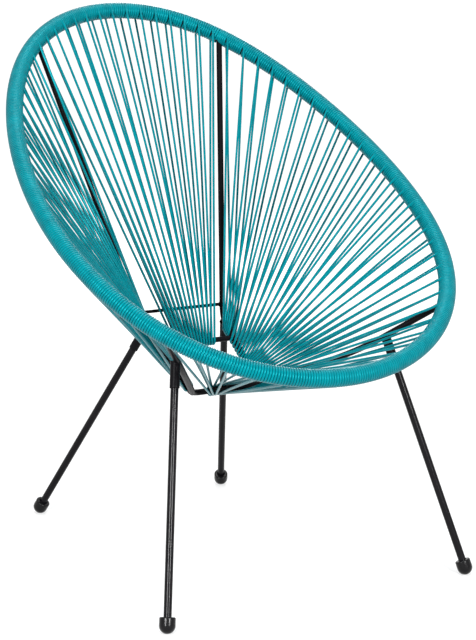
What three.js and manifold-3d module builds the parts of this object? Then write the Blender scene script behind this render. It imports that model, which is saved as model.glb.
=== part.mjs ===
// Acapulco chair: an egg-shaped rim wound with cord and laced in pairs of cords to a small hub of bars.
// A bent hoop and two bent ribs carry the rim, and four splayed legs screw into sleeves under them.
// Millimetres, +Z up. The chair faces -Y and the origin is on the floor under the middle of the chair.
// Left and right are as seen from in front, so right is +X.

import * as THREE from 'three';
import { mergeVertices } from 'three/addons/utils/BufferGeometryUtils.js';
import Module from 'manifold-3d';

const { degToRad, lerp } = THREE.MathUtils;

// Rim: an egg on a sloping plane, bowed a little along its length
const rimHalfWidth = 310.2;
const rimHalfLength = 446.3;
const rimCentreHeight = 602.3;
const rimSlope = degToRad(32.05);
const rimBow = 6.9;
const rimBackLift = 13.1;
const rimTubeRadius = 10;
const rimTaperShare = -0.2688;
const rimWaistShare = 0.1187;
const rimNoseShare = 0.1689;

// Cord, its winding and its lacing
const cordRadius = 1.75;
const windingRibDepth = 1.3;
const pairHalfSpread = 0.9;
const sidePairs = 23;
const topPairs = 14;
const frontPairs = 14;
const sideHookStart = 15;
const sideHookKneeInset = 21;
const sideHookOffRearBar = 6.8;
const sideFrontHooks = 18;
const sideEvenHooks = 9;
const sideHookGrowthShare = 0.123;
const topHookPitch = 5;
const frontHookPitch = 4.8;

// Hoop, ribs, hub bars and brace. A drop is measured down from the rim's centre height, and an inset
// inward from the rim's half width.
const ribRadius = 5;
const backRibTurn = degToRad(50);
const frontRibTurn = degToRad(-52);
const frontKneeInset = 151.7;
const frontKneeY = -165;
const frontKneeDrop = 257.8;
const backKneeX = 75;
const backKneeY = 129.5;
const backKneeDrop = 252.3;
const hubCornerX = 62;
const hubCornerY = -17.75;
const hubCornerDrop = 332.3;
const frontKneeTrim = 45;
const backKneeTrim = 25;
const hubCornerTrim = 14;
const rearBarRadius = 4.5;
const rearBarKneeInset = 48.6;
const braceRadius = 2.8;
const braceDistance = 27;

// Legs, from the round end of the cap up
const frontFootInset = 46.8;
const frontFootY = -309.3;
const backFootInset = 130.8;
const backFootY = 322.4;
const frontLegSeatShare = 0.69;
const frontLegSetBack = 5;
const seatShiftShare = 0.02;
const legRadius = 6;
const legWall = 1.2;
const sleeveLength = 39;
const sleeveWall = 1.2;
const sleeveTopDrop = 3;
const sleeveChamfer = 0.6;
const studRadius = 3;
const studHoleDepth = 4;
const studHoleCover = 0.6;
const studLength = 24;
const insertLength = 15;
const capRadius = 12;
const capBarrelLength = 12;
const capSocketDepth = 14;
const capEdgeRound = 1.8;
const capFlatDepth = 0.5;

// Fits and cutting
const clearance = 0.3;
const overrun = 8;
const roundingSteps = 5;
const rimSides = 8;
const barSides = 10;
const strandSides = 4;
const turnedSides = 16;
const smallTurnedSides = 12;
const ribsPerPair = 2;

const black = new THREE.MeshStandardMaterial({ color: 0x232026, roughness: 0.35, metalness: 0.6 });
const zinc = new THREE.MeshStandardMaterial({ color: 0x9a9da0, roughness: 0.4, metalness: 0.9 });
const plastic = new THREE.MeshStandardMaterial({ color: 0x1c1b1e, roughness: 0.5, metalness: 0 });
const teal = new THREE.MeshStandardMaterial({ color: 0x0096a5, roughness: 0.3, metalness: 0 });

const wasm = await Module();
wasm.setup();

// Solids and meshes

function solidOf(geometry) {
  const bare = geometry.clone();
  bare.deleteAttribute('normal');
  bare.deleteAttribute('uv');
  const merged = mergeVertices(bare);
  return new wasm.Manifold(new wasm.Mesh({
    numProp: 3,
    vertProperties: new Float32Array(merged.attributes.position.array),
    triVerts: new Uint32Array(merged.index.array),
  }));
}

function geometryOf(solid) {
  const { vertProperties, triVerts } = solid.getMesh();
  const geometry = new THREE.BufferGeometry();
  geometry.setAttribute('position', new THREE.BufferAttribute(vertProperties, 3));
  geometry.setIndex(new THREE.BufferAttribute(triVerts, 1));
  geometry.computeVertexNormals();
  return geometry;
}

function piece(name, geometry, material) {
  const mesh = new THREE.Mesh(geometry, material);
  mesh.name = name;
  return mesh;
}

const mirrored = ({ x, y, z }) => new THREE.Vector3(-x, y, z);
const across = (a, b) => new THREE.Vector3().crossVectors(a, b);
const along = (point, direction, distance) => point.clone().addScaledVector(direction, distance);
const towards = (from, to) => to.clone().sub(from).normalize();
const squareTo = (v, axis) => v.clone().addScaledVector(axis, -v.dot(axis)).normalize();

// A ring of points round a centre; out and side are square to each other, and out x side runs forward
function ring(centre, out, side, radius, sides, startAngle = 0) {
  return Array.from({ length: sides }, (_, i) => {
    const angle = startAngle + (2 * Math.PI * i) / sides;
    return along(along(centre, out, radius * Math.cos(angle)), side, radius * Math.sin(angle));
  });
}

// Skin over a row of rings, with flat ends, or joined end to end when it is a loop
function loft(rings, loop = false) {
  const sides = rings[0].length;
  const positions = rings.flat().flatMap((p) => [p.x, p.y, p.z]);
  const index = [];
  const spans = loop ? rings.length : rings.length - 1;
  for (let k = 0; k < spans; k += 1) {
    const here = k * sides;
    const next = ((k + 1) % rings.length) * sides;
    for (let i = 0; i < sides; i += 1) {
      const j = (i + 1) % sides;
      index.push(here + i, here + j, next + j, here + i, next + j, next + i);
    }
  }
  if (!loop) {
    const last = (rings.length - 1) * sides;
    for (let i = 1; i < sides - 1; i += 1) {
      index.push(0, i + 1, i, last, last + i, last + i + 1);
    }
  }
  const geometry = new THREE.BufferGeometry();
  geometry.setAttribute('position', new THREE.Float32BufferAttribute(positions, 3));
  geometry.setIndex(index);
  return geometry;
}

// A round bar through a row of points, its rings mitred at each bend
function bar(points, radius, sides = barSides) {
  const steps = points.slice(1).map((p, i) => towards(points[i], p));
  let out = squareTo(Math.abs(steps[0].z) < 0.8 ? new THREE.Vector3(0, 0, 1) : new THREE.Vector3(0, 1, 0), steps[0]);
  const rings = points.map((p, i) => {
    const before = steps[Math.max(i - 1, 0)];
    const after = steps[Math.min(i, steps.length - 1)];
    const forward = before.clone().add(after).normalize();
    out = squareTo(out, forward);
    return ring(p, out, across(forward, out), radius, sides);
  });
  return solidOf(loft(rings));
}

// Points through corners, each corner rounded over its trim length
function rounded(corners, trims) {
  const points = [corners[0]];
  trims.forEach((trim, i) => {
    const corner = corners[i + 1];
    const start = along(corner, towards(corner, corners[i]), trim);
    const end = along(corner, towards(corner, corners[i + 2]), trim);
    const bend = new THREE.QuadraticBezierCurve3(start, corner, end);
    points.push(...bend.getPoints(roundingSteps));
  });
  points.push(corners[corners.length - 1]);
  return points;
}

// The rim's centre line, by its turn round the egg: 0 is the right side and a quarter turn is the back

const sloped = (v, w) => ({
  y: v * Math.cos(rimSlope) - w * Math.sin(rimSlope),
  z: v * Math.sin(rimSlope) + w * Math.cos(rimSlope),
});

function rimOffset(turn) {
  const s = Math.sin(turn);
  const c = Math.cos(turn);
  const width = rimHalfWidth * c * (1 + rimTaperShare * s + rimWaistShare * s * s);
  const reachShare = s + rimNoseShare * c * c;
  const bow = rimBow * reachShare ** 2 + rimBackLift * reachShare ** 3;
  return { x: width, ...sloped(rimHalfLength * reachShare, bow) };
}

const rimSamples = 1440;
const sampledTurns = Array.from({ length: rimSamples + 1 }, (_, i) => (2 * Math.PI * i) / rimSamples);
const sampledReach = sampledTurns.map((turn) => rimOffset(turn).y);
const rimCentreY = -(Math.min(...sampledReach) + Math.max(...sampledReach)) / 2;
const rimUp = new THREE.Vector3(0, -Math.sin(rimSlope), Math.cos(rimSlope));

function rimPoint(turn) {
  const { x, y, z } = rimOffset(turn);
  return new THREE.Vector3(x, rimCentreY + y, rimCentreHeight + z);
}

const turnStep = degToRad(0.05);
const rimTangent = (turn) => towards(rimPoint(turn - turnStep), rimPoint(turn + turnStep));

// Turn after a length along the rim from a starting turn, by short steps
function turnAfter(start, length) {
  const step = length < 0 ? -turnStep : turnStep;
  let turn = start;
  let left = Math.abs(length);
  let stride = rimPoint(turn).distanceTo(rimPoint(turn + step));
  while (left > stride) {
    turn += step;
    left -= stride;
    stride = rimPoint(turn).distanceTo(rimPoint(turn + step));
  }
  return turn + (step * left) / stride;
}

function rimLengthBetween(start, end) {
  let length = 0;
  let here = rimPoint(start);
  const steps = Math.ceil((end - start) / turnStep);
  for (let i = 1; i <= steps; i += 1) {
    const next = rimPoint(start + ((end - start) * i) / steps);
    length += here.distanceTo(next);
    here = next;
  }
  return length;
}

function rimRing(turn, radius) {
  const tangent = rimTangent(turn);
  const out = across(tangent, rimUp).normalize();
  return ring(rimPoint(turn), out, across(tangent, out), radius, rimSides);
}

// The four stretches of rim between the ribs, cut into one bay for each pair of cords

const backLeftTurn = Math.PI - backRibTurn;
const frontLeftTurn = Math.PI - frontRibTurn;

function stretch(name, start, end, pairs, hooks) {
  const bay = rimLengthBetween(start, end) / pairs;
  const turns = [start];
  for (let i = 1; i < pairs; i += 1) {
    turns.push(turnAfter(turns[i - 1], bay));
  }
  turns.push(end);
  return { name, turns, bay, hooks };
}

// Hub: hooks sit on the side bars, the rear bar and the front bar

const fromRim = (x, y, drop) => new THREE.Vector3(x, y, rimCentreHeight - drop);
const frontKneeRight = fromRim(rimHalfWidth - frontKneeInset, frontKneeY, frontKneeDrop);
const kneeRight = fromRim(backKneeX, backKneeY, backKneeDrop);
const cornerRight = fromRim(hubCornerX, hubCornerY, hubCornerDrop);
const sideBarRight = towards(cornerRight, kneeRight);
const sideBarLength = cornerRight.distanceTo(kneeRight);
const rearBarDistance = sideBarLength - rearBarKneeInset;
const rearBarEnd = along(cornerRight, sideBarRight, rearBarDistance);

// Hooks on a side bar: evenly spaced at the front, wider and wider up to the rear bar, and even again past it
const frontHookReach = (i) => i + sideHookGrowthShare * Math.max(0, i - sideEvenHooks) ** 2;

function sideHook(i) {
  const back = i - sideFrontHooks;
  const frontShare = frontHookReach(i) / frontHookReach(sideFrontHooks - 1);
  const backShare = back / (sidePairs - sideFrontHooks - 1);
  const frontDistance = lerp(sideHookStart, rearBarDistance - sideHookOffRearBar, frontShare);
  const backDistance = lerp(rearBarDistance + sideHookOffRearBar, sideBarLength - sideHookKneeInset, backShare);
  const distance = back < 0 ? frontDistance : backDistance;
  return { centre: along(cornerRight, sideBarRight, distance), axis: sideBarRight, barRadius: ribRadius };
}

function mirrorHook({ centre, axis, barRadius }) {
  return { centre: mirrored(centre), axis: mirrored(axis), barRadius };
}

function rowHook(i, count, pitch, middle, barRadius) {
  const x = (i - (count - 1) / 2) * pitch;
  return { centre: new THREE.Vector3(x, middle.y, middle.z), axis: new THREE.Vector3(1, 0, 0), barRadius };
}

const stretches = [
  stretch('right', frontRibTurn, backRibTurn, sidePairs, (i) => sideHook(i)),
  stretch('top', backRibTurn, backLeftTurn, topPairs,
    (i) => rowHook(topPairs - 1 - i, topPairs, topHookPitch, rearBarEnd, rearBarRadius)),
  stretch('left', backLeftTurn, frontLeftTurn, sidePairs, (i) => mirrorHook(sideHook(sidePairs - 1 - i))),
  stretch('front', frontLeftTurn, frontRibTurn + 2 * Math.PI, frontPairs,
    (i) => rowHook(i, frontPairs, frontHookPitch, cornerRight, ribRadius)),
];

// Rim tube: one ring at each bay's end, so that the winding's bore follows it facet by facet

const rimTurns = stretches.flatMap(({ turns }) => turns.slice(0, -1));
const boreRadius = rimTubeRadius + clearance / Math.cos(Math.PI / rimSides);
const rimTube = solidOf(loft(rimTurns.map((turn) => rimRing(turn, rimTubeRadius)), true));
const rimCutter = solidOf(loft(rimTurns.map((turn) => rimRing(turn, boreRadius)), true));

// Hoop, ribs and bars, each cut back from what it is welded to

const frontTop = rimPoint(frontRibTurn);
const backTop = rimPoint(backRibTurn);
const frontPath = rounded(
  [frontTop, frontKneeRight, cornerRight, mirrored(cornerRight), mirrored(frontKneeRight), mirrored(frontTop)],
  [frontKneeTrim, hubCornerTrim, hubCornerTrim, frontKneeTrim],
);
const backPath = rounded([backTop, kneeRight, cornerRight], [backKneeTrim]);
const pathFor = (path, side) => (side > 0 ? path : path.map(mirrored));
const hoopCutter = bar(frontPath, ribRadius + clearance);
const backCutters = [1, -1].map((side) => bar(pathFor(backPath, side), ribRadius + clearance));
const frameCutter = hoopCutter.add(backCutters[0]).add(backCutters[1]);

const frontHoop = bar(frontPath, ribRadius).subtract(rimCutter);
const backRib = (side) => bar(pathFor(backPath, side), ribRadius).subtract(rimCutter).subtract(hoopCutter);

function crossBar(end, radius) {
  const whole = bar([mirrored(end), end], radius).subtract(backCutters[0]).subtract(backCutters[1]);
  return whole.decompose().sort((a, b) => b.volume() - a.volume())[0];
}

const braceEnd = along(kneeRight, towards(kneeRight, backTop), braceDistance);

// A pair of cords: from the rim's upper side over a hub bar, round it and back to the rim's lower side

const strandRadius = cordRadius * Math.sqrt(Math.PI / 2);
const strandHalfThickness = strandRadius * Math.cos(Math.PI / strandSides);
const windingRadius = rimTubeRadius + clearance + 2 * cordRadius;
const strandLeaveRadius = boreRadius + strandHalfThickness + clearance / 2;
const hookSteps = 3;
const hookStep = Math.PI / hookSteps;

function strandRing(centre, forward, outHint) {
  const out = squareTo(outHint, forward);
  return ring(centre, out, across(forward, out), strandRadius, strandSides, Math.PI / strandSides);
}

function leavePoint(turn, hook, side) {
  const centre = rimPoint(turn);
  const lift = across(rimTangent(turn), towards(centre, hook.centre)).normalize();
  const up = lift.multiplyScalar(Math.sign(lift.dot(rimUp)));
  return along(centre, up, side * strandLeaveRadius);
}

function pairPath(middleTurn, hook) {
  const spreadTurn = (offset) => turnAfter(middleTurn, offset);
  const inward = squareTo(towards(hook.centre, rimPoint(middleTurn)), hook.axis);
  const lift = across(hook.axis, inward);
  const up = lift.multiplyScalar(Math.sign(lift.dot(rimUp)));
  const reach = (hook.barRadius + clearance + strandHalfThickness) / Math.cos(hookStep / 2);
  const turn = Array.from({ length: hookSteps + 1 }, (_, i) => {
    const angle = i * hookStep;
    const radial = up.clone().multiplyScalar(Math.cos(angle)).addScaledVector(inward, -Math.sin(angle));
    const forward = up.clone().multiplyScalar(-Math.sin(angle)).addScaledVector(inward, -Math.cos(angle));
    return { centre: along(hook.centre, radial, reach), forward, radial };
  });
  const over = leavePoint(spreadTurn(-pairHalfSpread), hook, 1);
  const under = leavePoint(spreadTurn(pairHalfSpread), hook, -1);
  const down = up.clone().negate();
  return [
    { centre: over, forward: towards(over, turn[0].centre), radial: up },
    ...turn,
    { centre: under, forward: towards(turn[hookSteps].centre, under), radial: down },
  ];
}

const pairSolid = (path) => solidOf(loft(path.map((p) => strandRing(p.centre, p.forward, p.radial))));

// Least gap between the cords of one pair and the next, on points along their straight stretches
const gapSamples = 60;

function leastGap(paths) {
  let least = Infinity;
  const points = paths.map((path) => [0, hookSteps + 1].flatMap((k) => Array.from(
    { length: gapSamples + 1 },
    (_, i) => path[k].centre.clone().lerp(path[k + 1].centre, i / gapSamples),
  )));
  for (let i = 1; i < points.length; i += 1) {
    points[i].forEach((p) => points[i - 1].forEach((q) => {
      least = Math.min(least, p.distanceTo(q));
    }));
  }
  return least - 2 * strandHalfThickness;
}

// Winding of one stretch with its pairs of cords: a ribbed skin, cut by the rim's tube and by the ribs

function windingRings({ turns, bay }) {
  const rings = [];
  const ribRings = 2 * ribsPerPair;
  const pairs = turns.length - 1;
  for (let i = 0; i < pairs; i += 1) {
    for (let k = 0; k < ribRings; k += 1) {
      const crest = k % 2 === 1;
      const atStart = i === 0 && k === 0;
      const turn = turnAfter(turns[i], atStart ? clearance / 2 : (bay * k) / ribRings);
      rings.push(rimRing(turn, windingRadius - (crest ? 0 : windingRibDepth)));
    }
  }
  const last = turnAfter(turns[pairs], -clearance / 2);
  rings.push(rimRing(last, windingRadius - windingRibDepth));
  return rings;
}

function boreSolid({ turns }) {
  const before = turnAfter(turns[0], -overrun);
  const after = turnAfter(turns[turns.length - 1], overrun);
  return solidOf(loft([before, ...turns, after].map((turn) => rimRing(turn, boreRadius))));
}

const pathsOf = ({ turns, bay, hooks }) => turns.slice(0, -1)
  .map((turn, i) => pairPath(turnAfter(turn, bay / 2), hooks(i)));

function cordSection(section) {
  const { name, bay } = section;
  const paths = pathsOf(section);
  console.log(`${name}: bay ${bay.toFixed(1)} mm, least gap between pairs ${leastGap(paths).toFixed(2)} mm`);
  const skin = solidOf(loft(windingRings(section)));
  const laced = wasm.Manifold.union([skin, ...paths.map(pairSolid)]);
  return laced.subtract(boreSolid(section)).subtract(frameCutter);
}

// Legs: each is a group along its own axis, with the middle of the cap's round end as its origin

const capCentreHeight = capRadius - capFlatDepth;
const backBend = backPath.slice(1, -1);
const backMiddle = Math.floor(backBend.length / 2);
const backSeat = backBend[backMiddle];
const frontRibAxis = towards(frontKneeRight, frontTop);
const backRibAxis = towards(backBend[backMiddle + 1], backBend[backMiddle - 1]);
const frontFoot = { x: rimHalfWidth - frontFootInset, y: frontFootY };
const backFoot = { x: rimHalfWidth - backFootInset, y: backFootY };
const footBase = (foot, side) => new THREE.Vector3(side * foot.x, foot.y, capCentreHeight);
const studHoleRadius = studRadius + clearance;
const sleeveRadius = legRadius + clearance + sleeveWall;

// A front leg's seat is at its share of the hoop's arm, or slides along the arm by the least shift that
// keeps its sleeve clear of the cords
const nearCords = stretches.filter(({ name }) => name === 'front' || name === 'right').flatMap(pathsOf)
  .flatMap((path) => [0, hookSteps + 1].map((k) => new THREE.Line3(path[k].centre, path[k + 1].centre)));

function seatOnArm(share) {
  const seat = frontTop.clone().lerp(frontKneeRight, share);
  seat.y += frontLegSetBack;
  return seat;
}

function clearOfCords(seat) {
  const down = towards(seat, footBase(frontFoot, 1));
  const room = sleeveRadius + strandRadius + clearance;
  const nearest = new THREE.Vector3();
  const depth = (i) => sleeveTopDrop + (sleeveLength * i) / gapSamples;
  return Array.from({ length: gapSamples + 1 }, (_, i) => along(seat, down, depth(i)))
    .every((p) => nearCords.every((line) => line.closestPointToPoint(p, true, nearest).distanceTo(p) > room));
}

const seatShares = [frontLegSeatShare];
for (let shift = seatShiftShare; shift < 1 - frontLegSeatShare; shift += seatShiftShare) {
  seatShares.push(frontLegSeatShare + shift, frontLegSeatShare - shift);
}
const seatShare = seatShares.find((share) => clearOfCords(seatOnArm(share))) ?? frontLegSeatShare;
const frontSeat = seatOnArm(seatShare);
console.log(`front legs' seats at ${seatShare.toFixed(2)} of the hoop's arms`);

const lathe = (profile, sides) => new THREE.LatheGeometry(
  profile.map(([radius, height]) => new THREE.Vector2(radius, height)),
  sides,
).rotateX(Math.PI / 2);

// A tube or ring on the leg's axis, as a closed profile
const hollow = (outer, inner, low, high, sides) => lathe(
  [[inner, low], [outer, low], [outer, high], [inner, high], [inner, low]],
  sides,
);

function capGeometry() {
  const ballSteps = 5;
  const edgeSteps = 2;
  const socketRadius = legRadius + clearance;
  const profile = [];
  for (let i = 0; i <= ballSteps; i += 1) {
    const angle = (Math.PI / 2) * (i / ballSteps);
    profile.push([capRadius * Math.sin(angle), -capRadius * Math.cos(angle)]);
  }
  for (let i = 0; i <= edgeSteps; i += 1) {
    const angle = (Math.PI / 2) * (i / edgeSteps);
    profile.push([
      capRadius - capEdgeRound * (1 - Math.cos(angle)),
      capBarrelLength - capEdgeRound * (1 - Math.sin(angle)),
    ]);
  }
  profile.push([socketRadius, capBarrelLength]);
  profile.push([socketRadius, capBarrelLength - capSocketDepth]);
  profile.push([0, capBarrelLength - capSocketDepth]);
  return lathe(profile, turnedSides);
}

function sleeveGeometry(low, plugFace, high) {
  const inner = legRadius + clearance;
  const outer = inner + sleeveWall;
  return lathe([
    [inner, low],
    [outer - sleeveChamfer, low],
    [outer, low + sleeveChamfer],
    [outer, high],
    [0, high],
    [0, plugFace + studHoleDepth],
    [studHoleRadius, plugFace + studHoleDepth],
    [studHoleRadius, plugFace],
    [inner, plugFace],
    [inner, low],
  ], turnedSides);
}

// Everything under the floor, in the frame of a leg, to cut the cap flat
function floorCutter(toLeg) {
  const size = 4 * capRadius;
  const block = new THREE.BoxGeometry(size, size, size);
  block.translate(0, 0, -capCentreHeight - size / 2);
  return solidOf(block.applyMatrix4(toLeg));
}

// How far below a leg's seat its stud's hole stops, to stay under the rib that the sleeve is cut to
function holeDrop(foot, seat, ribPoint, ribAxis) {
  const down = towards(seat, footBase(foot, 1));
  const fromRib = seat.clone().sub(ribPoint);
  const cosine = down.dot(ribAxis);
  const sine = Math.sqrt(1 - cosine ** 2);
  const nearest = (cosine * fromRib.dot(ribAxis) - fromRib.dot(down)) / sine ** 2;
  return nearest + (ribRadius + clearance + studHoleRadius * Math.abs(cosine)) / sine + studHoleCover;
}

function leg(corner, foot, seat, drop, side) {
  const base = footBase(foot, side);
  const top = side > 0 ? seat : mirrored(seat);
  const length = base.distanceTo(top);
  const axis = towards(base, top);
  const assembly = new THREE.Group();
  assembly.position.copy(base);
  assembly.quaternion.setFromUnitVectors(new THREE.Vector3(0, 0, 1), axis);
  assembly.updateMatrixWorld(true);
  const toLeg = assembly.matrixWorld.clone().invert();
  const turning = new THREE.Matrix4().makeRotationFromQuaternion(assembly.quaternion).invert();

  const sleeveTop = length - sleeveTopDrop;
  const sleeveLow = sleeveTop - sleeveLength;
  const holeTop = length - drop;
  const plugFace = holeTop - studHoleDepth;
  const legTop = plugFace - clearance;
  const legLow = capBarrelLength - capSocketDepth + clearance;
  const boreOfLeg = legRadius - legWall;
  const studTop = holeTop - clearance;

  const frame = frameCutter.transform(toLeg.elements);
  const sleeve = solidOf(sleeveGeometry(sleeveLow, plugFace, sleeveTop)).subtract(frame);
  const cap = solidOf(capGeometry()).subtract(floorCutter(turning));
  const tube = hollow(legRadius, boreOfLeg, legLow, legTop, turnedSides);
  const insert = hollow(boreOfLeg - clearance, studRadius + clearance, legTop - insertLength, legTop, smallTurnedSides);
  const stud = lathe([[0, studTop - studLength], [studRadius, studTop - studLength], [studRadius, studTop], [0, studTop]],
    smallTurnedSides);

  assembly.add(
    piece(`leg_sleeve_${corner}`, geometryOf(sleeve), black),
    piece(`leg_${corner}`, geometryOf(solidOf(tube)), black),
    piece(`leg_insert_${corner}`, geometryOf(solidOf(insert)), zinc),
    piece(`leg_stud_${corner}`, geometryOf(solidOf(stud)), zinc),
    piece(`foot_cap_${corner}`, geometryOf(cap), plastic),
  );
  return assembly;
}

// The whole chair

const group = new THREE.Group();
group.add(piece('rim_tube', geometryOf(rimTube), black));
group.add(piece('front_hoop', geometryOf(frontHoop), black));
group.add(piece('back_rib_right', geometryOf(backRib(1)), black));
group.add(piece('back_rib_left', geometryOf(backRib(-1)), black));
group.add(piece('hub_rear_bar', geometryOf(crossBar(rearBarEnd, rearBarRadius)), black));
group.add(piece('back_brace_rod', geometryOf(crossBar(braceEnd, braceRadius)), black));
for (const section of stretches) {
  group.add(piece(`cord_${section.name}`, geometryOf(cordSection(section)), teal));
}
const frontHoleDrop = holeDrop(frontFoot, frontSeat, frontKneeRight, frontRibAxis);
const backHoleDrop = holeDrop(backFoot, backSeat, backSeat, backRibAxis);
for (const [corner, foot, seat, drop, side] of [
  ['front_right', frontFoot, frontSeat, frontHoleDrop, 1],
  ['front_left', frontFoot, frontSeat, frontHoleDrop, -1],
  ['back_right', backFoot, backSeat, backHoleDrop, 1],
  ['back_left', backFoot, backSeat, backHoleDrop, -1],
]) {
  group.add(leg(corner, foot, seat, drop, side));
}

export default group;
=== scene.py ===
"""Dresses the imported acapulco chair: a real cord wound round the rim and laced to the hub, smooth
welded steel tube, and moulded foot caps. Everything is in metres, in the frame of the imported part."""

import math

import bpy
import numpy as np
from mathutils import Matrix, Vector


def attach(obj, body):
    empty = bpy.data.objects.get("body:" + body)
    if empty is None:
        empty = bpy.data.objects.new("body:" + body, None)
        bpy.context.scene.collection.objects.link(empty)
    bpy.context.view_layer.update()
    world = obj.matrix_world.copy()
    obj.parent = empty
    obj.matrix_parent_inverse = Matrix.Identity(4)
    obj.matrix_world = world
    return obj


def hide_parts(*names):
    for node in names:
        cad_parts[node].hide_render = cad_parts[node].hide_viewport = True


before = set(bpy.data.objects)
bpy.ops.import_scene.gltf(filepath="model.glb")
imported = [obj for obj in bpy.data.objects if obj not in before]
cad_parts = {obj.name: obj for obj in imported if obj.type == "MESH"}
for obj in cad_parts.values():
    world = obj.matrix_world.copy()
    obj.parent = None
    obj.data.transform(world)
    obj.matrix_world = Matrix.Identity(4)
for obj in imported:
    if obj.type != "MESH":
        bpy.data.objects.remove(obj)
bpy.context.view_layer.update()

ROOT = "root"

# Rim, as in the part's source
RIM_HALF_WIDTH = 0.3102
RIM_HALF_LENGTH = 0.4463
RIM_CENTRE_HEIGHT = 0.6023
RIM_SLOPE = math.radians(32.05)
RIM_BOW = 0.0069
RIM_BACK_LIFT = 0.0131
RIM_TAPER_SHARE = -0.2688
RIM_WAIST_SHARE = 0.1187
RIM_NOSE_SHARE = 0.1689
RIM_TUBE_RADIUS = 0.010
REACH_SAMPLES = 1441
TABLE_SAMPLES = 20001
TABLE_MARGIN = 0.5
TURN_STEP = 1e-4

# Hoop, ribs and bars
RIB_RADIUS = 0.005
BACK_RIB_TURN = math.radians(50)
FRONT_RIB_TURN = math.radians(-52)
FRONT_KNEE = np.array([0.1585, -0.165, 0.3445])
BACK_KNEE = np.array([0.075, 0.1295, 0.350])
HUB_CORNER = np.array([0.062, -0.01775, 0.270])
FRONT_KNEE_TRIM = 0.045
BACK_KNEE_TRIM = 0.025
BACK_SEAT_SHARE = 0.6
HUB_CORNER_TRIM = 0.014
HUB_BEND_SHARE = 0.25
RIB_END_SHARE = 0.6
REAR_BAR_RADIUS = 0.0045
REAR_BAR_KNEE_INSET = 0.0486
BRACE_RADIUS = 0.0028
BRACE_DISTANCE = 0.027
TUBE_SIDES = 28
BEND_STEPS = 14
STRAIGHT_STEPS = 24
BAR_POINTS = 9
STEEPEST_START = 0.8
SHARP_ANGLE = math.radians(40)

# Cord and its winding
CORD_RADIUS = 0.00196
WOUND_HALF_THICKNESS = 0.00172
WOUND_HALF_WIDTH = 0.00200
WINDING_PITCH = 0.00406
WINDING_GAP = 0.00033
WINDING_RADIUS = RIM_TUBE_RADIUS + WINDING_GAP + WOUND_HALF_THICKNESS
PAIR_HALF_SPREAD = WINDING_PITCH / 4
PART_HALF_WIDTH = RIB_RADIUS + WOUND_HALF_WIDTH
PART_REACH = 0.018
DRAW_SHIFT = 0.0019
DRAW_REACH = 0.0105
START_ANGLE = math.pi / 2
CORD_SIDES = 8
STEPS_PER_TURN = 24
STRAND_STEPS = 12
HOOK_STEPS = 10
HOOK_GAP = 0.0002
PLACE_JITTER = 0.0008
HOOK_JITTER = 0.0001
SAG_JITTER = 0.0006
CORD_SEED = 11

# Hooks of the laced pairs
SIDE_PAIRS = 23
TOP_PAIRS = 14
FRONT_PAIRS = 14
SIDE_HOOK_START = 0.015
SIDE_HOOK_KNEE_INSET = 0.021
SIDE_HOOK_OFF_REAR_BAR = 0.0068
SIDE_FRONT_HOOKS = 18
SIDE_EVEN_HOOKS = 9
SIDE_HOOK_GROWTH_SHARE = 0.123
TOP_HOOK_PITCH = 0.005
FRONT_HOOK_PITCH = 0.0048

# Welds
WELD_RADIUS = 0.0013
WELD_STEPS = 44
WELD_SIDES = 10
WELD_RIPPLE_SHARE = 0.13
WELD_RIPPLE_STEPS = 4
WELD_UNEVEN_SHARE = 0.05
WELD_SINK_SHARE = 0.4
REAR_BAR_SEED = 10
BRACE_SEED = 20
SLEEVE_SEED = 30

# Legs and sleeves
FRONT_FOOT = (0.2634, -0.3093)
BACK_FOOT = (0.1794, 0.3224)
FRONT_LEG_SEAT_SHARE = 0.69
FRONT_LEG_SET_BACK = 0.005
LEG_RADIUS = 0.006
LEG_ROUNDING = 0.0004
LEG_CAP_GAP = 0.0003
LEG_FIRST_STEP = 0.002
LEG_IN_SLEEVE = 0.02
LEG_TOP_EDGE = 0.0005
LEG_STEPS = 24
SLEEVE_LENGTH = 0.039
SLEEVE_RADIUS = 0.0075
SLEEVE_TOP_DROP = 0.003
SLEEVE_GAP = 0.0003
SLEEVE_EDGE = 0.0007
SLEEVE_RECESS = 0.004
SLEEVE_HOLE_SHARE = 0.3
SLEEVE_TOP_SHARES = (0.7, 0.2)
SLEEVE_FIRST_SHARE = 0.1
SLEEVE_SIDE_STEPS = 8
SLEEVE_EDGE_STEPS = 5
COPE_STEPS = 240
TURNED_SIDES = 40

# Foot caps
CAP_RADIUS = 0.012
CAP_BARREL = 0.012
CAP_SOCKET_DEPTH = 0.014
CAP_SOCKET_GAP = 0.0002
CAP_FLAT_DEPTH = 0.0005
CAP_CENTRE_HEIGHT = CAP_RADIUS - CAP_FLAT_DEPTH
CAP_EDGE = 0.0018
CAP_LIP_GAP = 0.0008
CAP_LIP_EDGE = 0.0005
CAP_LIP_DEPTH = 0.0016
CAP_ROUND_STEPS = 16
CAP_EDGE_STEPS = 7
CAP_SCUFF_HEIGHT = 0.009

# Looks. A noise is its scale, detail and roughness. Gloss is a noise and the two roughnesses that it
# runs between. A bump is a noise, a strength and a height.
CORD_LOOK = {
    "tone": (55, 4, 0.5),
    "tones": [
        (0.25, (0.000, 0.106, 0.130)),
        (0.5, (0.000, 0.135, 0.162)),
        (0.78, (0.000, 0.164, 0.195)),
    ],
    "gloss": ((140, 3, 0.5), 0.26, 0.38),
    "bumps": [((420, 2, 0.5), 0.2, 0.0002), ((2600, 2, 0.5), 0.1, 0.0001)],
    "sockets": {"Specular IOR Level": 0.34, "Specular Tint": (0.06, 0.9, 1.0, 1.0)},
}
COAT_LOOK = {
    "tone": (30, 5, 0.6),
    "tones": [
        (0.3, (0.0024, 0.0021, 0.0029)),
        (0.6, (0.0040, 0.0036, 0.0046)),
        (0.8, (0.0070, 0.0063, 0.0075)),
    ],
    "bumps": [((900, 2, 0.5), 0.2, 0.0002)],
}
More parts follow.
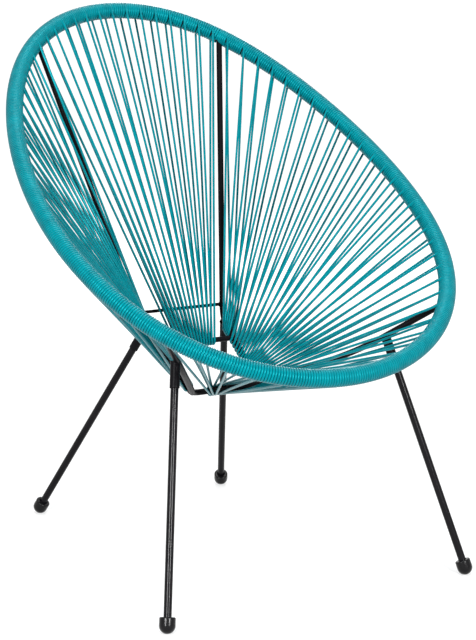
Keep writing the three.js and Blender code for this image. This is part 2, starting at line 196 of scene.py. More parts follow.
FRAME_LOOK = COAT_LOOK | {
    "gloss": ((90, 4, 0.5), 0.32, 0.46),
    "sockets": {"Specular IOR Level": 0.05},
}
LEG_LOOK = COAT_LOOK | {
    "gloss": ((90, 4, 0.5), 0.15, 0.27),
    "sockets": {"Specular IOR Level": 0.11},
}
CAP_LOOK = {
    "tone": (300, 5, 0.7),
    "tones": [
        (0.0, (0.0030, 0.0028, 0.0033)),
        (0.35, (0.0050, 0.0047, 0.0052)),
        (0.8, (0.0250, 0.0240, 0.0230)),
    ],
    "gloss": ((200, 3, 0.5), 0.17, 0.3),
    "bumps": [((1500, 2, 0.5), 0.35, 0.0002)],
    "sockets": {"Specular IOR Level": 0.16},
}
ZINC_LOOK = {
    "tone": (250, 4, 0.5),
    "tones": [(0.3, (0.42, 0.43, 0.44)), (0.7, (0.60, 0.61, 0.62))],
    "gloss": ((500, 3, 0.5), 0.28, 0.5),
    "bumps": [],
    "sockets": {"Metallic": 1.0},
}

# Floor and light. The floor's lift is the distances from the middle and the strengths that it runs
# between. A lamp is its name, place, size and power.
FLOOR_HALF = 30.0
FLOOR_COLOUR = (0.5, 0.5, 0.5, 1)
FLOOR_ROUGHNESS = 0.9
FLOOR_LIFT = (0.9, 3.4, 0.42, 0.82)
WHITE = (1, 1, 1, 1)
WORLD_LIGHT = 0.42
LIGHT_TARGET = (0.0, 0.0, 0.45)
LAMPS = [
    ("key_left", (-2.42, -1.75, 1.3), (0.22, 0.8), 98),
    ("key_right", (0.1, -2.98, 1.3), (0.22, 0.8), 98),
    ("top", (0.1, 0.1, 2.9), (1.6, 1.6), 40),
    ("back", (1.5, 2.6, 1.7), (1.2, 1.2), 34),
]

# Camera
CAMERA_PLACE = (-1.4844, -2.6445, 0.9866)
CAMERA_TARGET = (-0.03713, -0.11855, 0.40330)
SENSOR = 36.0
FOCAL_PIXELS = 1931.56
IMAGE_HEIGHT = 640

FULL_TURN = 2 * math.pi
QUARTER_TURN = math.pi / 2
X_AXIS = np.array([1.0, 0.0, 0.0])
Y_AXIS = np.array([0.0, 1.0, 0.0])
Z_AXIS = np.array([0.0, 0.0, 1.0])
SAME = np.ones(3)
MIRROR = np.array([-1.0, 1.0, 1.0])
UP = np.array([0.0, -math.sin(RIM_SLOPE), math.cos(RIM_SLOPE)])
rng = np.random.default_rng(CORD_SEED)


# Small vector helpers, on single vectors and on rows of them

def unit(v):
    v = np.asarray(v, float)
    return v / np.linalg.norm(v, axis=-1, keepdims=True)


def square_to(v, axis):
    return unit(v - np.sum(v * axis, axis=-1, keepdims=True) * axis)


def stopped(end, towards_point, distance):
    """The point at a distance from an end, on the way to another point."""
    return end + unit(towards_point - end) * distance


def round_axis(axis, count):
    """Directions square to an axis, evenly round it."""
    u = square_to(X_AXIS, axis)
    v = np.cross(axis, u)
    angle = np.linspace(0, FULL_TURN, count, endpoint=False)[:, None]
    return np.cos(angle) * u + np.sin(angle) * v


# The rim's centre line and its frames

def rim_offset(turn):
    s, c = np.sin(turn), np.cos(turn)
    reach = s + RIM_NOSE_SHARE * c * c
    x = RIM_HALF_WIDTH * c * (1 + RIM_TAPER_SHARE * s + RIM_WAIST_SHARE * s * s)
    v = RIM_HALF_LENGTH * reach
    w = RIM_BOW * reach ** 2 + RIM_BACK_LIFT * reach ** 3
    y = v * math.cos(RIM_SLOPE) - w * math.sin(RIM_SLOPE)
    z = v * math.sin(RIM_SLOPE) + w * math.cos(RIM_SLOPE)
    return np.stack([x, y, z], axis=-1)


reach_y = rim_offset(np.linspace(0, FULL_TURN, REACH_SAMPLES))[:, 1]
RIM_CENTRE = np.array([0.0, -(reach_y.min() + reach_y.max()) / 2, RIM_CENTRE_HEIGHT])
table_turns = np.linspace(
    FRONT_RIB_TURN - TABLE_MARGIN, FRONT_RIB_TURN + FULL_TURN + TABLE_MARGIN, TABLE_SAMPLES,
)
table_points = rim_offset(table_turns) + RIM_CENTRE
table_steps = np.linalg.norm(np.diff(table_points, axis=0), axis=1)
table_lengths = np.concatenate([[0], np.cumsum(table_steps)])


def rim_point(turn):
    return rim_offset(np.asarray(turn, float)) + RIM_CENTRE


def length_at(turn):
    return np.interp(turn, table_turns, table_lengths)


def turn_at(length):
    return np.interp(length, table_lengths, table_turns)


def rim_frame(length):
    """Centre, outward and upward directions of the rim's section at a length along it."""
    turn = turn_at(length)
    tangent = unit(rim_point(turn + TURN_STEP) - rim_point(turn - TURN_STEP))
    out = unit(np.cross(tangent, UP))
    return rim_point(turn), out, np.cross(out, tangent)


# Meshes

def make_mesh(name, verts, faces, material, slot):
    mesh = bpy.data.meshes.new(name)
    mesh.from_pydata(np.asarray(verts, float).tolist(), [], [list(map(int, f)) for f in faces])
    mesh.validate()
    mesh.update()
    mesh.shade_smooth()
    mesh.set_sharp_from_angle(angle=SHARP_ANGLE)
    mesh.materials.append(material)
    obj = bpy.data.objects.new(name, mesh)
    bpy.context.scene.collection.objects.link(obj)
    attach(obj, ROOT)
    return obj


def dress(node_name, piece_name, shell, material, slot):
    """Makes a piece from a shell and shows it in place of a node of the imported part."""
    piece = make_mesh(piece_name, *shell, material, slot)
    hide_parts(node_name)


def join_parts(parts):
    """One list of vertices and one of faces from several closed shells."""
    verts, faces, start = [], [], 0
    for v, f in parts:
        verts.append(np.asarray(v, float))
        faces.extend([tuple(i + start for i in face) for face in f])
        start += len(v)
    return np.vstack(verts), faces


def loft(rings, closed=False):
    """Closed shell over rings of points of one count, with flat ends unless it is a loop."""
    count, sides = rings.shape[:2]
    k = np.arange(count if closed else count - 1)[:, None]
    i = np.arange(sides)[None, :]
    j = (i + 1) % sides
    after = (k + 1) % count
    corners = [k * sides + i, k * sides + j, after * sides + j, after * sides + i]
    quads = np.stack(corners, axis=-1).reshape(-1, 4)
    faces = [tuple(q) for q in quads.tolist()]
    if not closed:
        faces.append(tuple(range(sides))[::-1])
        faces.append(tuple(range((count - 1) * sides, count * sides)))
    return rings.reshape(-1, 3), faces


def tube_rings(points, refs, radius, sides, closed=False, wide=None):
    """Rings round a line of points; wide, if given, is the half width square to the references."""
    points = np.asarray(points, float)
    if closed:
        tangent = unit(np.roll(points, -1, axis=0) - np.roll(points, 1, axis=0))
    else:
        tangent = unit(np.gradient(points, axis=0))
    u = square_to(np.asarray(refs, float), tangent)
    v = np.cross(tangent, u)
    angle = np.linspace(0, FULL_TURN, sides, endpoint=False)
    deep = np.broadcast_to(np.asarray(radius, float), (len(points),))[:, None, None]
    wide = deep if wide is None else np.asarray(wide, float)[:, None, None]
    across = np.cos(angle)[None, :, None] * u[:, None, :]
    along = np.sin(angle)[None, :, None] * v[:, None, :]
    return points[:, None, :] + deep * across + wide * along


def transported(points):
    """Reference directions carried along a line of points without twist."""
    tangent = unit(np.gradient(points, axis=0))
    start = Z_AXIS if abs(tangent[0][2]) < STEEPEST_START else Y_AXIS
    refs = [square_to(start, tangent[0])]
    for t in tangent[1:]:
        refs.append(square_to(refs[-1], t))
    return np.array(refs)


def rounded(corners, trims):
    """Points through corners, each rounded over its trim length, with the straights stepped too."""
    corners = [np.asarray(c, float) for c in corners]
    points = []
    last = corners[0]
    for i, trim in enumerate(trims):
        corner = corners[i + 1]
        start = stopped(corner, corners[i], trim)
        end = stopped(corner, corners[i + 2], trim)
        points.extend(last + (start - last) * k / STRAIGHT_STEPS for k in range(STRAIGHT_STEPS))
        points.extend(bend_point(start, corner, end, k / BEND_STEPS) for k in range(BEND_STEPS))
        last = end
    points.extend(last + (corners[-1] - last) * k / STRAIGHT_STEPS for k in range(STRAIGHT_STEPS + 1))
    return np.array(points)


def bend_point(start, corner, end, share):
    """Point at a share of the way round a bend from start to end, drawn to its corner."""
    rest = 1 - share
    return start * rest ** 2 + corner * 2 * share * rest + end * share ** 2


def lathe(base, axis, profile):
    """Closed shell turned about an axis, from radius and height pairs that start and end on it."""
    circle = round_axis(axis, TURNED_SIDES)
    verts, rows = [], []
    for radius, height in profile:
        centre = base + axis * height
        if radius == 0:
            rows.append([len(verts)] * TURNED_SIDES)
            verts.append(centre)
        else:
            rows.append(list(range(len(verts), len(verts) + TURNED_SIDES)))
            verts.extend(centre + radius * circle)
    faces = []
    for low, high in zip(rows, rows[1:]):
        for i in range(TURNED_SIDES):
            j = (i + 1) % TURNED_SIDES
            face = [low[i], low[j], high[j], high[i]]
            face = [n for k, n in enumerate(face) if n != face[k - 1]]
            if len(face) > 2:
                faces.append(tuple(face))
    return np.array(verts), faces


# Materials

def noise(nodes, links, scale, detail, roughness):
    coordinates = nodes.new("ShaderNodeTexCoord")
    texture = nodes.new("ShaderNodeTexNoise")
    texture.inputs["Scale"].default_value = scale
    texture.inputs["Detail"].default_value = detail
    texture.inputs["Roughness"].default_value = roughness
    links.new(coordinates.outputs["Object"], texture.inputs["Vector"])
    return texture.outputs["Fac"]


def ramp(nodes, links, source, stops):
    node = nodes.new("ShaderNodeValToRGB")
    elements = node.color_ramp.elements
    while len(elements) < len(stops):
        elements.new(0.5)
    for element, (position, colour) in zip(elements, stops):
        element.position = position
        element.color = (*colour, 1.0)
    links.new(source, node.inputs["Fac"])
    return node.outputs["Color"]


def map_range(nodes, links, source, from_low, from_high, to_low, to_high):
    node = nodes.new("ShaderNodeMapRange")
    node.inputs["From Min"].default_value = from_low
    node.inputs["From Max"].default_value = from_high
    node.inputs["To Min"].default_value = to_low
    node.inputs["To Max"].default_value = to_high
    links.new(source, node.inputs["Value"])
    return node.outputs["Result"]


def combine(nodes, links, operation, first, second, clamp=False):
    node = nodes.new("ShaderNodeMath")
    node.operation = operation
    node.use_clamp = clamp
    links.new(first, node.inputs[0])
    links.new(second, node.inputs[1])
    return node.outputs["Value"]


def bump(nodes, links, source, strength, distance, normal):
    node = nodes.new("ShaderNodeBump")
    node.inputs["Strength"].default_value = strength
    node.inputs["Distance"].default_value = distance
    links.new(source, node.inputs["Height"])
    if normal is not None:
        links.new(normal, node.inputs["Normal"])
    return node.outputs["Normal"]


def near_ground(nodes, links):
    """1 at the ground, falling to 0 at the top of a cap's scuffs."""
    geometry = nodes.new("ShaderNodeNewGeometry")
    split = nodes.new("ShaderNodeSeparateXYZ")
    links.new(geometry.outputs["Position"], split.inputs["Vector"])
    return map_range(nodes, links, split.outputs["Z"], 0, CAP_SCUFF_HEIGHT, 1, 0)


def surface(name, look, mask=None):
    """A material whose tone and roughness vary with noise; a mask holds the tone's variation back."""
    material = bpy.data.materials.new(name)
    material.use_nodes = True
    nodes, links = material.node_tree.nodes, material.node_tree.links
    shader = nodes["Principled BSDF"]
    tone = noise(nodes, links, *look["tone"])
    if mask:
        tone = combine(nodes, links, "MULTIPLY", mask(nodes, links), tone)
    links.new(ramp(nodes, links, tone, look["tones"]), shader.inputs["Base Color"])
    gloss_noise, smoothest, roughest = look["gloss"]
    gloss = map_range(nodes, links, noise(nodes, links, *gloss_noise), 0, 1, smoothest, roughest)
    links.new(gloss, shader.inputs["Roughness"])
    normal = None
    for bump_noise, strength, height in look["bumps"]:
        normal = bump(nodes, links, noise(nodes, links, *bump_noise), strength, height, normal)
    if normal is not None:
        links.new(normal, shader.inputs["Normal"])
    for socket, value in look["sockets"].items():
        shader.inputs[socket].default_value = value
    return material


# Semi-gloss teal cord, a little uneven in tone, with fine draw marks
cord_look = surface("teal_cord", CORD_LOOK)
# Black powder coat with fine orange peel and faint dust, duller on the frame than on the legs
frame_look = surface("black_powder_coat", FRAME_LOOK)
leg_look = surface("black_leg_coat", LEG_LOOK)
# Black moulded plastic with a fine grain and paler scuffs low down
cap_look = surface("black_cap", CAP_LOOK, near_ground)
zinc_look = surface("zinc_screw", ZINC_LOOK)


# Hooks of the laced pairs on the hub's bars

side_bar = unit(BACK_KNEE - HUB_CORNER)
side_bar_length = float(np.linalg.norm(BACK_KNEE - HUB_CORNER))
rear_bar_distance = side_bar_length - REAR_BAR_KNEE_INSET
rear_bar_end = HUB_CORNER + side_bar * rear_bar_distance


def front_hook_reach(i):
    return i + SIDE_HOOK_GROWTH_SHARE * max(0, i - SIDE_EVEN_HOOKS) ** 2


def side_hook(i):
    """Centre, axis and bar radius of a hook on the right side bar, before or behind the rear bar."""
    back = i - SIDE_FRONT_HOOKS
    if back < 0:
        share = front_hook_reach(i) / front_hook_reach(SIDE_FRONT_HOOKS - 1)
        first = SIDE_HOOK_START
        last = rear_bar_distance - SIDE_HOOK_OFF_REAR_BAR
    else:
        share = back / (SIDE_PAIRS - SIDE_FRONT_HOOKS - 1)
        first = rear_bar_distance + SIDE_HOOK_OFF_REAR_BAR
        last = side_bar_length - SIDE_HOOK_KNEE_INSET
    return HUB_CORNER + side_bar * (first + (last - first) * share), side_bar, RIB_RADIUS


def left_hook(i):
    centre, axis, radius = side_hook(SIDE_PAIRS - 1 - i)
    return centre * MIRROR, axis * MIRROR, radius


def row_hook(i, count, pitch, middle, radius):
    x = (i - (count - 1) / 2) * pitch
    return np.array([x, middle[1], middle[2]]), X_AXIS, radius


def top_hook(i):
    return row_hook(TOP_PAIRS - 1 - i, TOP_PAIRS, TOP_HOOK_PITCH, rear_bar_end, REAR_BAR_RADIUS)


def front_hook(i):
    return row_hook(i, FRONT_PAIRS, FRONT_HOOK_PITCH, HUB_CORNER, RIB_RADIUS)


back_left_turn = math.pi - BACK_RIB_TURN
front_left_turn = math.pi - FRONT_RIB_TURN
STRETCHES = [
    ("right", FRONT_RIB_TURN, BACK_RIB_TURN, SIDE_PAIRS, side_hook),
    ("top", BACK_RIB_TURN, back_left_turn, TOP_PAIRS, top_hook),
    ("left", back_left_turn, front_left_turn, SIDE_PAIRS, left_hook),
    ("front", front_left_turn, FRONT_RIB_TURN + FULL_TURN, FRONT_PAIRS, front_hook),
]
RIB_ENDS = [
    (FRONT_RIB_TURN, FRONT_KNEE),
    (BACK_RIB_TURN, BACK_KNEE),
    (back_left_turn, BACK_KNEE * MIRROR),
    (front_left_turn, FRONT_KNEE * MIRROR),
    (FRONT_RIB_TURN + FULL_TURN, FRONT_KNEE),
]


# The cord's way round the rim and to its hooks

def section_angle(length, towards_point):
    """Angle round the rim's section, from outward over the top, at which a point lies."""
    centre, out, up = rim_frame(length)
    d = towards_point - centre
    return math.atan2(float(np.dot(d, up)), float(np.dot(d, out))) % FULL_TURN


rib_places = [(float(length_at(turn)), section_angle(length_at(turn), knee)) for turn, knee in RIB_ENDS]


def parted(lengths, angles):
    """Pushes turns of the winding aside where a rib passes between them."""
    for place, rib_angle in rib_places:
        away = lengths - place
        near = np.abs(away) < PART_REACH
        turned = (angles - rib_angle + math.pi) % FULL_TURN - math.pi
        off_rib = WINDING_RADIUS * np.abs(np.sin(turned))
        sideways = np.where(np.abs(turned) < QUARTER_TURN, off_rib, PART_HALF_WIDTH)
        half = np.sqrt(np.maximum(PART_HALF_WIDTH ** 2 - sideways ** 2, 0.0))
        moved = np.sign(away) * (half + np.abs(away) * (PART_REACH - half) / PART_REACH)
        lengths = np.where(near, place + moved, lengths)
    return lengths


def drawn_in(lengths, angles, draws):
    """Draws turns together on the hub's side where a pair leaves the winding."""
    for place, hub_angle in draws:
        away = lengths - place
        nearness = np.maximum(1 - np.abs(away) / DRAW_REACH, 0)
        facing = np.maximum(np.cos(angles - hub_angle), 0)
        lengths = lengths - np.sign(away) * DRAW_SHIFT * nearness * facing
    return lengths


def winding(start_length, end_length, start_angle, end_angle, draws):
    """Points and outward directions of the cord along part of the winding."""
    count = max(3, int(abs(end_angle - start_angle) / FULL_TURN * STEPS_PER_TURN) + 1)
    angles = np.linspace(start_angle, end_angle, count)
    even = np.linspace(start_length, end_length, count)
    centre, out, up = rim_frame(parted(drawn_in(even, angles, draws), angles))
    radial = np.cos(angles)[:, None] * out + np.sin(angles)[:, None] * up
    return centre + WINDING_RADIUS * radial, radial


def leave(length, hook_point, side):
    """Point, outward direction and section angle where a straight cord leaves the winding for a hook."""
    centre, out, up = rim_frame(length)
    d = hook_point - centre
    flat = np.array([np.dot(d, out), np.dot(d, up)])
    far = np.linalg.norm(flat)
    towards = math.atan2(flat[1], flat[0])
    angle = towards - side * math.acos(WINDING_RADIUS / far)
    radial = math.cos(angle) * out + math.sin(angle) * up
    return centre + WINDING_RADIUS * radial, radial, angle % FULL_TURN


def straight(a, b, ref_a, ref_b):
    """A taut cord between two points, a hair off straight."""
    share = np.linspace(0, 1, STRAND_STEPS + 1)[1:-1, None]
    sag = rng.normal(0, SAG_JITTER, 3)
    points = a + (b - a) * share + sag * np.sin(np.pi * share)
    return points, ref_a + (ref_b - ref_a) * share


def hook_turn(hook, rim_middle):
    """Points and outward directions of the cord's turn round a bar, from over it to under it."""
    centre, axis, bar_radius = hook
    inward = square_to(rim_middle - centre, axis)
    lift = np.cross(axis, inward)
    lift = lift * np.sign(np.dot(lift, UP))
    reach = bar_radius + HOOK_GAP + CORD_RADIUS
    angle = np.linspace(0, math.pi, HOOK_STEPS + 1)[:, None]
    radial = np.cos(angle) * lift - np.sin(angle) * inward
    return centre + reach * radial, radial


def stretch_path(start_turn, end_turn, pairs, hook_of):
    """The one cord of a stretch: wound along the rim and laced to its hooks on the way."""
    first, last = float(length_at(start_turn)), float(length_at(end_turn))
    bay = (last - first) / pairs
    points, refs, wound_shares = [], [], []
    here_length, here_angle = first, START_ANGLE
    draws = []
    for i in range(pairs):
        middle = first + bay * (i + 0.5) + rng.uniform(-PLACE_JITTER, PLACE_JITTER)
        leaving, coming = middle - PAIR_HALF_SPREAD, middle + PAIR_HALF_SPREAD
        centre, axis, bar_radius = hook_of(i)
        hook = (centre + axis * rng.uniform(-HOOK_JITTER, HOOK_JITTER), axis, bar_radius)
        draws = draws[-1:] + [(middle, section_angle(middle, centre))]
        turn_points, turn_refs = hook_turn(hook, rim_point(turn_at(middle)))
        over, over_ref, over_angle = leave(leaving, turn_points[0], 1)
        under, under_ref, under_angle = leave(coming, turn_points[-1], -1)
        to_over = (over_angle - here_angle) % FULL_TURN
        turns = round((middle - here_length) / WINDING_PITCH - to_over / FULL_TURN)
        end_angle = here_angle + to_over + FULL_TURN * turns
        wound, wound_refs = winding(here_length, leaving, here_angle, end_angle, draws)
        down, down_refs = straight(over, turn_points[0], over_ref, turn_refs[0])
        back, back_refs = straight(turn_points[-1], under, turn_refs[-1], under_ref)
        points += [wound[:-1], over[None], down, turn_points, back]
        refs += [wound_refs[:-1], over_ref[None], down_refs, turn_refs, back_refs]
        wound_shares.append(np.ones(len(wound) - 1))
        wound_shares.append(np.zeros(1 + len(down) + len(turn_points) + len(back)))
        here_length, here_angle = coming, under_angle
    turns = round((last - here_length) / WINDING_PITCH)
    end_angle = here_angle + (START_ANGLE - here_angle) % FULL_TURN + FULL_TURN * turns
    wound, wound_refs = winding(here_length, last, here_angle, end_angle, draws[-1:])
    points.append(wound)
    refs.append(wound_refs)
    wound_shares.append(np.ones(len(wound)))
    return np.vstack(points), np.vstack(refs), np.concatenate(wound_shares)


for stretch_name, start, end, pair_count, hook_of in STRETCHES:
    path, outward, wound_share = stretch_path(start, end, pair_count, hook_of)
    thickness = CORD_RADIUS + (WOUND_HALF_THICKNESS - CORD_RADIUS) * wound_share
    width = CORD_RADIUS + (WOUND_HALF_WIDTH - CORD_RADIUS) * wound_share
    shell = loft(tube_rings(path, outward, thickness, CORD_SIDES, wide=width))
    dress(f"cord_{stretch_name}", f"laced_cord_{stretch_name}", shell, cord_look, "cord")


# Frame tubes and their welds

def bar_shell(points, radius):
    return loft(tube_rings(points, transported(points), radius, TUBE_SIDES))


def cross_bar(end, radius):
    """A straight bar from a right-hand end to its mirror image on the left."""
    return bar_shell(np.linspace(end * MIRROR, end, BAR_POINTS), radius)


def bead(points, seed):
    """A rippled bead of weld along a loop of points."""
    count = len(points)
    uneven = np.random.default_rng(seed).normal(0, WELD_UNEVEN_SHARE, count)
    wave = np.sin(np.arange(count) * FULL_TURN / WELD_RIPPLE_STEPS)
    ripple = WELD_RADIUS * (1 + WELD_RIPPLE_SHARE * wave + uneven)
    outward = unit(points - points.mean(axis=0))
    return loft(tube_rings(points, outward, ripple, WELD_SIDES, closed=True), closed=True)


def weld_ring(centre, axis, radius, main_point, main_axis, main_radius, seed):
    """A rippled bead where a round bar runs into the side of another."""
    axis = unit(axis)
    main_axis = unit(main_axis)
    u = square_to(main_axis, axis)
    v = np.cross(axis, u)
    points = []
    for k in range(WELD_STEPS):
        angle = FULL_TURN * k / WELD_STEPS
        start = centre + radius * (math.cos(angle) * u + math.sin(angle) * v)
        p = start - main_point
        p = p - np.dot(p, main_axis) * main_axis
        d = axis - np.dot(axis, main_axis) * main_axis
        a, b = np.dot(d, d), 2 * np.dot(p, d)
        c = np.dot(p, p) - main_radius ** 2
        root = max(b * b - 4 * a * c, 0.0)
        points.append(start + axis * ((-b + math.sqrt(root)) / (2 * a)))
    return bead(np.array(points), seed)


front_top = rim_point(FRONT_RIB_TURN)
back_top = rim_point(BACK_RIB_TURN)
hoop_start = stopped(front_top, FRONT_KNEE, RIM_TUBE_RADIUS)
hoop_half = [hoop_start, FRONT_KNEE, HUB_CORNER]
hoop_points = rounded(
    hoop_half + [corner * MIRROR for corner in reversed(hoop_half)],
    [FRONT_KNEE_TRIM, HUB_CORNER_TRIM, HUB_CORNER_TRIM, FRONT_KNEE_TRIM],
)
rib_start = stopped(back_top, BACK_KNEE, RIM_TUBE_RADIUS)
rib_end = stopped(HUB_CORNER, BACK_KNEE, RIB_RADIUS * RIB_END_SHARE)
rib_points = rounded([rib_start, BACK_KNEE, rib_end], [BACK_KNEE_TRIM])
brace_end = stopped(BACK_KNEE, back_top, BRACE_DISTANCE)

for node_name, piece_name, shell in (
    ("front_hoop", "front_hoop_tube", bar_shell(hoop_points, RIB_RADIUS)),
    ("back_rib_right", "back_rib_tube_right", bar_shell(rib_points, RIB_RADIUS)),
    ("back_rib_left", "back_rib_tube_left", bar_shell(rib_points * MIRROR, RIB_RADIUS)),
    ("hub_rear_bar", "rear_hub_tube", cross_bar(rear_bar_end, REAR_BAR_RADIUS)),
    ("back_brace_rod", "back_brace", cross_bar(brace_end, BRACE_RADIUS)),
):
    dress(node_name, piece_name, shell, frame_look, "frame_steel")

hub_welds = []
for number, flip in enumerate((SAME, MIRROR)):
    corner, knee, top = HUB_CORNER * flip, BACK_KNEE * flip, back_top * flip
    inside = -X_AXIS * flip
    bend_in = stopped(corner, FRONT_KNEE * flip, HUB_CORNER_TRIM) - corner
    bend_spot = corner + bend_in * HUB_BEND_SHARE
    bend_axis = bend_in - X_AXIS * HUB_CORNER_TRIM * flip
    for bar_end, axis, radius, main_point, main_axis, seed in (
        (corner, knee - corner, RIB_RADIUS, bend_spot, bend_axis, 0),
        (rear_bar_end * flip, inside, REAR_BAR_RADIUS, corner, knee - corner, REAR_BAR_SEED),
        (brace_end * flip, inside, BRACE_RADIUS, knee, top - knee, BRACE_SEED),
    ):
        ring = weld_ring(bar_end, axis, radius, main_point, main_axis, RIB_RADIUS, seed + number)
        hub_welds.append(ring)
make_mesh("hub_welds", *join_parts(hub_welds), frame_look, "frame_steel")


# Legs, sleeves and foot caps

def cap_shell(base, axis):
    """A round-bottomed cap with a rounded edge, a lip and a socket, flat where it stands."""
    profile = [(0, -CAP_RADIUS)]
    for a in np.linspace(0, QUARTER_TURN, CAP_ROUND_STEPS)[1:]:
        profile.append((CAP_RADIUS * math.sin(a), -CAP_RADIUS * math.cos(a)))
    for a in np.linspace(0, QUARTER_TURN, CAP_EDGE_STEPS):
        radius = CAP_RADIUS - CAP_EDGE * (1 - math.cos(a))
        profile.append((radius, CAP_BARREL - CAP_EDGE * (1 - math.sin(a))))
    lip = LEG_RADIUS + CAP_LIP_GAP
    socket = LEG_RADIUS + CAP_SOCKET_GAP
    profile += [
        (lip + CAP_LIP_EDGE, CAP_BARREL),
        (lip, CAP_BARREL - CAP_LIP_EDGE),
        (socket, CAP_BARREL - CAP_LIP_DEPTH),
        (socket, CAP_BARREL - CAP_SOCKET_DEPTH),
        (0, CAP_BARREL - CAP_SOCKET_DEPTH),
    ]
    verts, faces = lathe(base, axis, profile)
    verts[:, 2] = np.maximum(verts[:, 2], 0.0)
    return verts, faces


def leg_shell(base, axis, sleeve_low):
    """The leg's tube, from inside its cap to inside its sleeve, with rounded ends."""
    low = CAP_BARREL - CAP_SOCKET_DEPTH + LEG_CAP_GAP
    high = sleeve_low + LEG_IN_SLEEVE
    profile = [(0, low), (LEG_RADIUS - LEG_ROUNDING, low), (LEG_RADIUS, low + LEG_ROUNDING)]
    profile += [(LEG_RADIUS, h) for h in np.linspace(low + LEG_FIRST_STEP, high, LEG_STEPS)]
    profile += [(LEG_RADIUS - LEG_ROUNDING, high + LEG_TOP_EDGE), (0, high + LEG_TOP_EDGE)]
    return lathe(base, axis, profile)


def cope_heights(starts, axis, low, high, rib):
    """Heights along an axis at which lines up from the starts meet a bent rib, or else the high end."""
    heights = np.linspace(low, high, COPE_STEPS)
    spots = (starts[:, None] + heights[:, None] * axis)[:, :, None]
    spans = rib[1:] - rib[:-1]
    shares = np.clip(((spots - rib[:-1]) * spans).sum(-1) / (spans ** 2).sum(-1), 0, 1)
    gaps = np.linalg.norm(spots - rib[:-1] - shares[..., None] * spans, axis=-1).min(-1)
    inside = gaps < RIB_RADIUS
    return np.where(inside.any(1), heights[inside.argmax(1)], high)


def sleeve_shell(base, axis, low, high, rib):
    """A short tube coped to the rib over it, and its top edge for the weld."""
    spokes = round_axis(axis, TURNED_SIDES)

    def tops(radius):
        return cope_heights(base + radius * spokes, axis, low, high, rib)

    inner = LEG_RADIUS + SLEEVE_GAP
    flat = SLEEVE_RADIUS - SLEEVE_EDGE
    edge_low = low + SLEEVE_EDGE
    recess = low + SLEEVE_RECESS
    rows = [(inner * SLEEVE_HOLE_SHARE, recess), (inner, recess), (inner, low), (flat, low)]
    for turn in np.linspace(0, QUARTER_TURN, SLEEVE_EDGE_STEPS)[1:]:
        rows.append((flat + SLEEVE_EDGE * math.sin(turn), edge_low - SLEEVE_EDGE * math.cos(turn)))
    rim_tops = tops(SLEEVE_RADIUS)
    for share in np.linspace(SLEEVE_FIRST_SHARE, 1, SLEEVE_SIDE_STEPS):
        rows.append((SLEEVE_RADIUS, edge_low + (rim_tops - edge_low) * share))
    for share in SLEEVE_TOP_SHARES:
        rows.append((SLEEVE_RADIUS * share, tops(SLEEVE_RADIUS * share)))
    rings = [base + np.broadcast_to(heights, TURNED_SIDES)[:, None] * axis + radius * spokes
             for radius, heights in rows]
    weld_radius = SLEEVE_RADIUS - WELD_RADIUS * WELD_SINK_SHARE
    return loft(np.array(rings)), base + rim_tops[:, None] * axis + weld_radius * spokes


front_seat = front_top + (FRONT_KNEE - front_top) * FRONT_LEG_SEAT_SHARE + Y_AXIS * FRONT_LEG_SET_BACK
bend_start = stopped(BACK_KNEE, back_top, BACK_KNEE_TRIM)
bend_end = stopped(BACK_KNEE, HUB_CORNER, BACK_KNEE_TRIM)
back_seat = bend_point(bend_start, BACK_KNEE, bend_end, BACK_SEAT_SHARE)
sleeve_welds = []
for number, (corner_name, foot, seat, rib, flip) in enumerate((
    ("front_right", FRONT_FOOT, front_seat, hoop_points, SAME),
    ("front_left", FRONT_FOOT, front_seat, hoop_points, MIRROR),
    ("back_right", BACK_FOOT, back_seat, rib_points, SAME),
    ("back_left", BACK_FOOT, back_seat, rib_points, MIRROR),
)):
    base = np.array([*foot, CAP_CENTRE_HEIGHT]) * flip
    leg_line = seat * flip - base
    axis = unit(leg_line)
    sleeve_top = float(np.linalg.norm(leg_line)) - SLEEVE_TOP_DROP
    sleeve_low = sleeve_top - SLEEVE_LENGTH
    sleeve, weld_line = sleeve_shell(base, axis, sleeve_low, sleeve_top, rib * flip)
    leg = leg_shell(base, axis, sleeve_low)
    dress(f"leg_{corner_name}", f"leg_tube_{corner_name}", leg, leg_look, "leg_steel")
    cap = cap_shell(base, axis)
    dress(f"foot_cap_{corner_name}", f"round_cap_{corner_name}", cap, cap_look, "foot_plastic")
    dress(f"leg_sleeve_{corner_name}", f"sleeve_{corner_name}", sleeve, frame_look, "frame_steel")
    sleeve_welds.append(bead(weld_line, SLEEVE_SEED + number))
make_mesh("sleeve_welds", *join_parts(sleeve_welds), frame_look, "frame_steel")

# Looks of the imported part's own nodes, the frame's wherever no other fits
NODE_LOOKS = {"leg_insert": zinc_look, "leg_stud": zinc_look, "foot_cap": cap_look, "cord": cord_look}
for node_name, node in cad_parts.items():
    fitting = [look for start, look in NODE_LOOKS.items() if node_name.startswith(start)]
    node.data.materials.clear()
    node.data.materials.append(fitting[0] if fitting else frame_look)


# Floor, light and camera

def light_path_share(nodes, links):
    """1 for rays from the camera, off gloss or through glass, else 0."""
    path = nodes.new("ShaderNodeLightPath").outputs
    seen = combine(nodes, links, "ADD", path["Is Camera Ray"], path["Is Glossy Ray"])
    return combine(nodes, links, "ADD", seen, path["Is Transmission Ray"], clamp=True)


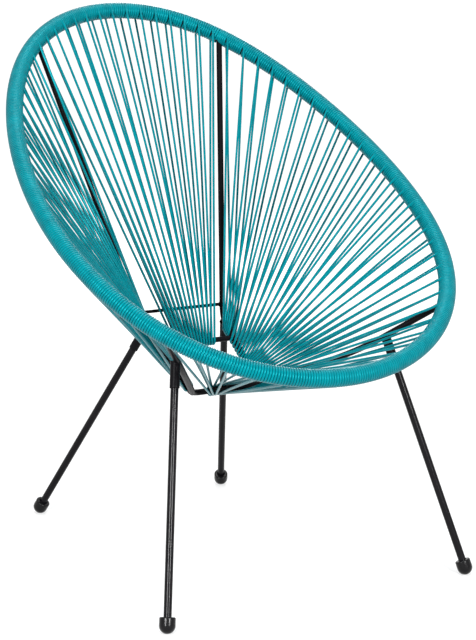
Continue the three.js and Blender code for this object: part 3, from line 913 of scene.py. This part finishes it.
def floor_material():
    """Pale floor that shows white, lifted more where less light reaches it, and keeps the shadow."""
    material = bpy.data.materials.new("pale_floor")
    material.use_nodes = True
    nodes, links = material.node_tree.nodes, material.node_tree.links
    shader = nodes["Principled BSDF"]
    shader.inputs["Base Color"].default_value = FLOOR_COLOUR
    shader.inputs["Roughness"].default_value = FLOOR_ROUGHNESS
    geometry = nodes.new("ShaderNodeNewGeometry")
    reach = nodes.new("ShaderNodeVectorMath")
    reach.operation = "LENGTH"
    links.new(geometry.outputs["Position"], reach.inputs[0])
    lift = map_range(nodes, links, reach.outputs["Value"], *FLOOR_LIFT)
    glow = nodes.new("ShaderNodeEmission")
    strength = combine(nodes, links, "MULTIPLY", light_path_share(nodes, links), lift)
    links.new(strength, glow.inputs["Strength"])
    both = nodes.new("ShaderNodeAddShader")
    links.new(shader.outputs["BSDF"], both.inputs[0])
    links.new(glow.outputs["Emission"], both.inputs[1])
    links.new(both.outputs["Shader"], nodes["Material Output"].inputs["Surface"])
    return material


def facing(place, target):
    """Rotation of a lamp or camera that looks from a place at a target."""
    return (Vector(target) - Vector(place)).to_track_quat("-Z", "Y").to_euler()


def area_light(name, place, size, power):
    data = bpy.data.lights.new(name, "AREA")
    data.shape = "RECTANGLE"
    data.size, data.size_y = size
    data.energy = power
    light = bpy.data.objects.new(name, data)
    light.location = place
    light.rotation_euler = facing(place, LIGHT_TARGET)
    bpy.context.scene.collection.objects.link(light)


floor_corners = [(x * FLOOR_HALF, y * FLOOR_HALF, 0) for x, y in ((-1, -1), (1, -1), (1, 1), (-1, 1))]
floor_mesh = bpy.data.meshes.new("floor")
floor_mesh.from_pydata(floor_corners, [], [(0, 1, 2, 3)])
floor_mesh.materials.append(floor_material())
floor = bpy.data.objects.new("floor", floor_mesh)
bpy.context.scene.collection.objects.link(floor)

world = bpy.data.worlds.new("studio")
bpy.context.scene.world = world
world.use_nodes = True
world_nodes, world_links = world.node_tree.nodes, world.node_tree.links
background = world_nodes["Background"]
background.inputs["Color"].default_value = WHITE
seen = light_path_share(world_nodes, world_links)
strength = map_range(world_nodes, world_links, seen, 0, 1, WORLD_LIGHT, 1)
world_links.new(strength, background.inputs["Strength"])

for lamp in LAMPS:
    area_light(*lamp)

camera_data = bpy.data.cameras.new("camera")
camera_data.sensor_width = SENSOR
camera_data.lens = FOCAL_PIXELS / IMAGE_HEIGHT * SENSOR
camera = bpy.data.objects.new("camera", camera_data)
camera.location = CAMERA_PLACE
camera.rotation_euler = facing(CAMERA_PLACE, CAMERA_TARGET)
bpy.context.scene.collection.objects.link(camera)
bpy.context.scene.camera = camera
bpy.context.scene.view_settings.view_transform = "Standard"
